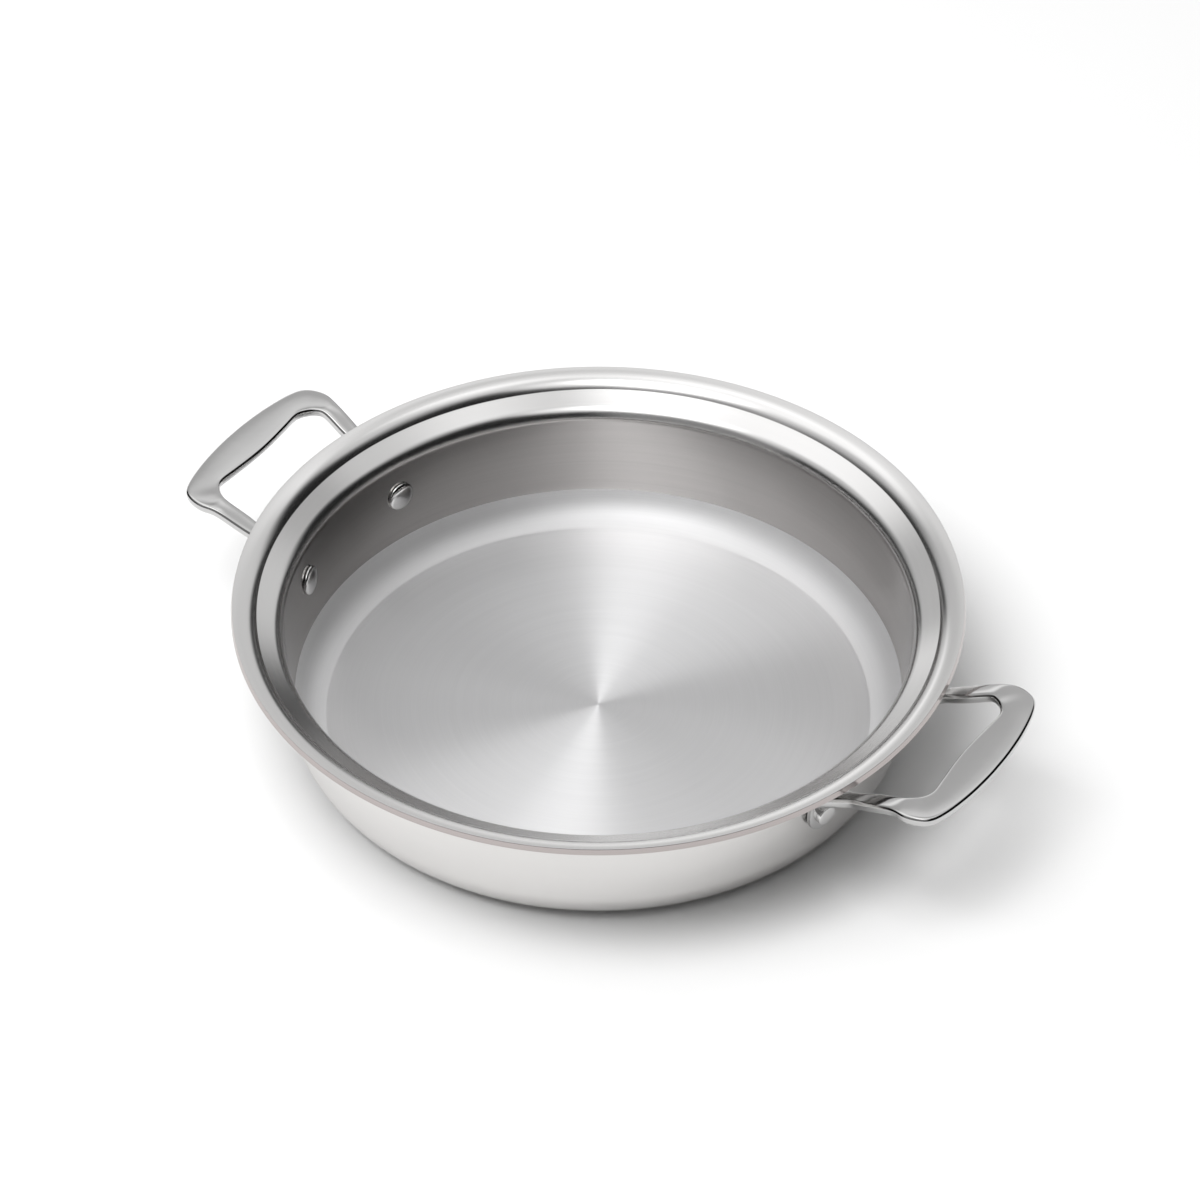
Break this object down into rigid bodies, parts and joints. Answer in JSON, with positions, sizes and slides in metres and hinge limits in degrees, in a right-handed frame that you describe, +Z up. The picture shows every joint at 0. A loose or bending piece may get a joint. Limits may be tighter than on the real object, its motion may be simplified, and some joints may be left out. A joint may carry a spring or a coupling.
{
  "type": "saute pan",
  "caption": "Round straight-sided stainless saute pan with a flared stepped rim and two riveted loop handles.",
  "frame": {"origin": "centre of the pan's flat base, on the surface it stands on", "axes": "+Z up along the pan's axis, X through the middle of both handles"},
  "size_m": [0.3766, 0.3014, 0.0658],
  "materials": {
    "brushed_steel": "brushed in circles",
    "aluminium": "polished cut edge",
    "satin_steel": "satin",
    "polished_steel": "mirror polished"
  },
  "bodies": {
    "root": {"inner_steel_ply": "brushed_steel", "aluminium_core": "aluminium", "outer_steel_ply": "satin_steel", "right_handle": "polished_steel", "left_handle": "polished_steel", "right_handle_front_rivet": "polished_steel", "right_handle_rear_rivet": "polished_steel", "left_handle_front_rivet": "polished_steel", "left_handle_rear_rivet": "polished_steel"}
  },
  "joints": []
}
